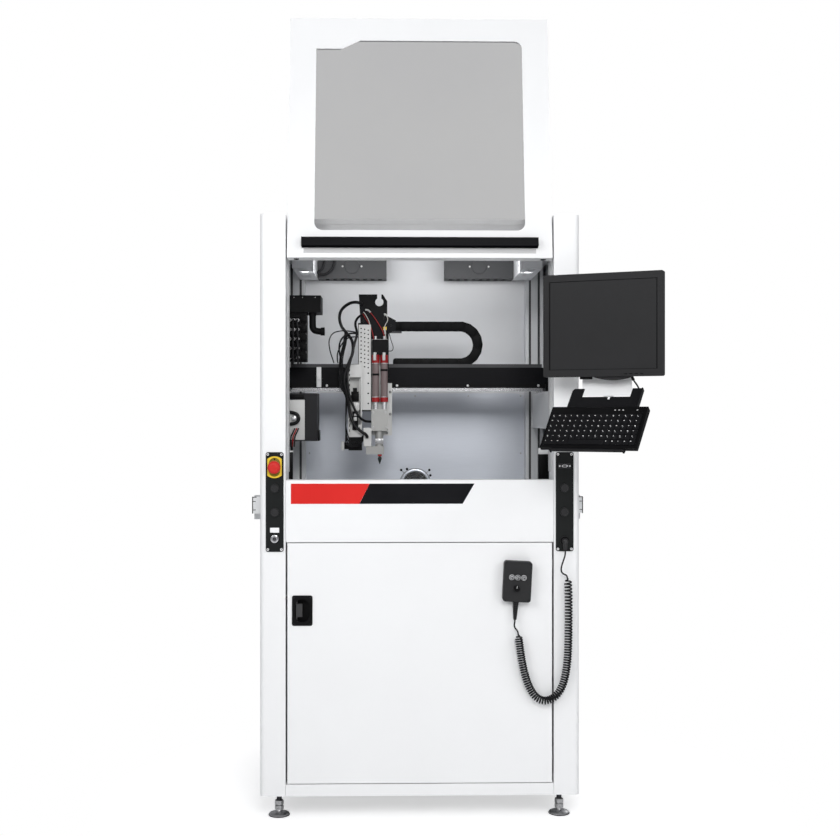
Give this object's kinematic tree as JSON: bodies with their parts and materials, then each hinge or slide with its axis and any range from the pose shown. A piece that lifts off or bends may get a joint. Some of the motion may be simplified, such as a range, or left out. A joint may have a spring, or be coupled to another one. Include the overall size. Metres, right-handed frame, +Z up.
{
  "type": "conformal coating machine",
  "caption": "In-line selective coating cell with lift-up window, gantry head, board conveyor, service door, swing-out screen and hand pendant.",
  "frame": {"origin": "middle of the footprint of everything that stands out, conveyor ends to screen, at floor level", "axes": "+Z up, +Y from the operator's side to the rear, +X to the operator's right, along the board lane"},
  "size_m": [1.258, 1.4462, 2.5163],
  "materials": {
    "cover_white": "smooth satin powder coat",
    "frame_grey": "powder-coated steel tube",
    "chamber_pale": "semi-gloss pale grey sheet",
    "duct_grey": "dark grey powder coat",
    "aluminium": "clear anodised extrusion",
    "black_anodised": "black anodised, fine satin",
    "steel": "turned steel",
    "zinc": "zinc-plated, polished",
    "black_plastic": "fine-textured black moulding",
    "grey_plastic": "dark moulding",
    "red_plastic": "glossy red moulding",
    "yellow_plastic": "glossy yellow moulding",
    "white_plate": "white-coated plate",
    "clear_pane": "tinted clear polycarbonate",
    "clear_tube": "clear cylinder with pinkish fluid",
    "rubber": "soft black jacket",
    "key_grey": "moulded key caps"
  },
  "bodies": {
    "root": {"welded_frame": "frame_grey", "chamber_posts": "aluminium", "column_cover_left": "cover_white", "column_cover_right": "cover_white", "side_panels": "cover_white", "rear_panel": "cover_white", "roof_panel": "cover_white", "base_pan": "cover_white", "front_panel": "cover_white", "chamber_deck": "chamber_pale", "chamber_wall": "chamber_pale", "air_ducts": "duct_grey", "exhaust_collar": "zinc", "fan_housing": "black_plastic", "levelling_feet": "zinc", "control_plates": "black_anodised", "estop_collar": "yellow_plastic", "plate_fittings": "black_plastic", "door_guides": "aluminium", "service_hinges": "steel", "cord_leads": "rubber", "curly_cord": "rubber", "y_rails": "aluminium", "wall_equipment": "black_plastic", "conveyor_front": "aluminium", "equipment_panel": "grey_plastic", "fluid_tanks": "steel", "arm_bracket": "black_anodised"},
    "fan_rotor": {"fan_rotor": "black_plastic"},
    "estop_stem": {"estop_stem": "grey_plastic"},
    "estop_head": {"estop_head": "red_plastic"},
    "key_barrel": {"key_barrel": "steel"},
    "door_shoes": {"door_shoes": "steel"},
    "window": {"window_frame": "cover_white", "window_pane": "clear_pane", "window_handle": "black_anodised"},
    "service_door": {"service_door": "cover_white", "latch_cup": "black_plastic", "pendant_case": "black_plastic"},
    "latch_paddle": {"latch_paddle": "black_plastic"},
    "pendant_switch_1": {"pendant_switch_1": "steel"},
    "pendant_switch_2": {"pendant_switch_2": "steel"},
    "pendant_switch_3": {"pendant_switch_3": "steel"},
    "pendant_knob": {"pendant_knob": "black_plastic"},
    "gantry": {"x_beam": "black_anodised", "cable_chain": "black_plastic"},
    "head_carriage": {"x_carriage": "black_anodised", "z_housing": "white_plate", "head_hoses": "rubber"},
    "valve_slide": {"valve_plate": "white_plate", "fluid_cylinders": "clear_tube", "spray_valve": "steel"},
    "conveyor_rear": {"conveyor_rear": "aluminium"},
    "conveyor_shaft": {"conveyor_shaft": "steel"},
    "swing_arm": {"swing_arm": "black_anodised"},
    "screen_mast": {"screen_mast": "white_plate"},
    "screen": {"screen_case": "black_plastic"},
    "keyboard": {"keyboard_tray": "black_plastic", "keyboard_case": "black_plastic"},
    "keycaps": {"keycaps": "key_grey"}
  },
  "joints": [
    {"name": "window_lift", "type": "slide", "parent": "root", "child": "door_shoes", "axis": [0, 0, 1], "range_m": [-0.666, 0]},
    {"name": "window_lean", "type": "hinge", "parent": "door_shoes", "child": "window", "pos_m": [-0.07726, -0.18808, 1.762], "axis": [1, 0, 0], "range_deg": [0, 9.9]},
    {"name": "service_door_hinge", "type": "hinge", "parent": "root", "child": "service_door", "pos_m": [0.32624, -0.27008, 0.49], "axis": [0, 0, 1], "range_deg": [0, 100], "deforming": ["curly_cord", "cord_leads"]},
    {"name": "latch_turn", "type": "hinge", "parent": "service_door", "child": "latch_paddle", "pos_m": [-0.45726, -0.27208, 0.653], "axis": [0, 0, 1], "range_deg": [-35, 0], "stiffness_Nm_per_rad": 0.4, "springref_deg": 20.05},
    {"name": "pendant_knob_turn", "type": "hinge", "parent": "service_door", "child": "pendant_knob", "pos_m": [0.2177, -0.29808, 0.72413], "axis": [0, 1, 0], "range_deg": [-135, 135]},
    {"name": "estop_press", "type": "slide", "parent": "root", "child": "estop_stem", "axis": [0, 1, 0], "range_m": [0, 0.004]},
    {"name": "estop_twist", "type": "hinge", "parent": "estop_stem", "child": "estop_head", "pos_m": [-0.52376, -0.29808, 1.094], "axis": [0, 1, 0], "range_deg": [0, 45], "stiffness_Nm_per_rad": 0.1, "springref_deg": -17.19},
    {"name": "key_turn", "type": "hinge", "parent": "root", "child": "key_barrel", "pos_m": [-0.52376, -0.27808, 0.874], "axis": [0, 1, 0], "range_deg": [0, 90]},
    {"name": "fan_spin", "type": "hinge", "parent": "root", "child": "fan_rotor", "pos_m": [-0.07726, 0.59192, 0.996], "axis": [0, 1, 0], "continuous": true},
    {"name": "gantry_y", "type": "slide", "parent": "root", "child": "gantry", "axis": [0, 1, 0], "range_m": [-0.16, 0.26]},
    {"name": "head_x", "type": "slide", "parent": "gantry", "child": "head_carriage", "axis": [1, 0, 0], "range_m": [-0.09, 0.42], "deforming": ["cable_chain"]},
    {"name": "valve_z", "type": "slide", "parent": "head_carriage", "child": "valve_slide", "axis": [0, 0, 1], "range_m": [-0.1, 0.02], "deforming": ["head_hoses"]},
    {"name": "conveyor_width", "type": "slide", "parent": "root", "child": "conveyor_rear", "axis": [0, 1, 0], "range_m": [-0.15, 0.09]},
    {"name": "conveyor_drive", "type": "hinge", "parent": "root", "child": "conveyor_shaft", "pos_m": [0.22274, 0.28192, 0.938], "axis": [0, 1, 0], "continuous": true},
    {"name": "arm_swing", "type": "hinge", "parent": "root", "child": "swing_arm", "pos_m": [0.37574, -0.31008, 1.449], "axis": [0, 0, 1], "range_deg": [-25, 45]},
    {"name": "mast_swivel", "type": "hinge", "parent": "swing_arm", "child": "screen_mast", "pos_m": [0.48574, -0.39008, 1.52], "axis": [0, 0, 1], "range_deg": [-10, 40]},
    {"name": "screen_tilt", "type": "hinge", "parent": "screen_mast", "child": "screen", "pos_m": [0.47307, -0.41727, 1.52], "axis": [0.9063, -0.4226, 0], "range_deg": [-15, 8]},
    {"name": "tray_tilt", "type": "hinge", "parent": "screen_mast", "child": "keyboard", "pos_m": [0.45274, -0.54408, 1.267], "axis": [0.8572, -0.515, 0], "range_deg": [-48, 20]},
    {"name": "key_press", "type": "slide", "parent": "keyboard", "child": "keycaps", "axis": [-0.4003, -0.6661, 0.6293], "range_m": [-0.0015, 0], "stiffness_N_per_m": 2500, "springref_m": 0.0016},
    {"name": "pendant_press_1", "type": "slide", "parent": "service_door", "child": "pendant_switch_1", "axis": [0, 1, 0], "range_m": [0, 0.0015], "stiffness_N_per_m": 1500, "springref_m": -0.001},
    {"name": "pendant_press_2", "type": "slide", "parent": "service_door", "child": "pendant_switch_2", "axis": [0, 1, 0], "range_m": [0, 0.0015], "stiffness_N_per_m": 1500, "springref_m": -0.001},
    {"name": "pendant_press_3", "type": "slide", "parent": "service_door", "child": "pendant_switch_3", "axis": [0, 1, 0], "range_m": [0, 0.0015], "stiffness_N_per_m": 1500, "springref_m": -0.001}
  ],
  "couplings": [
    {"joint": "window_lean", "follows": "window_lift", "rad_per_m": -0.25944}
  ]
}
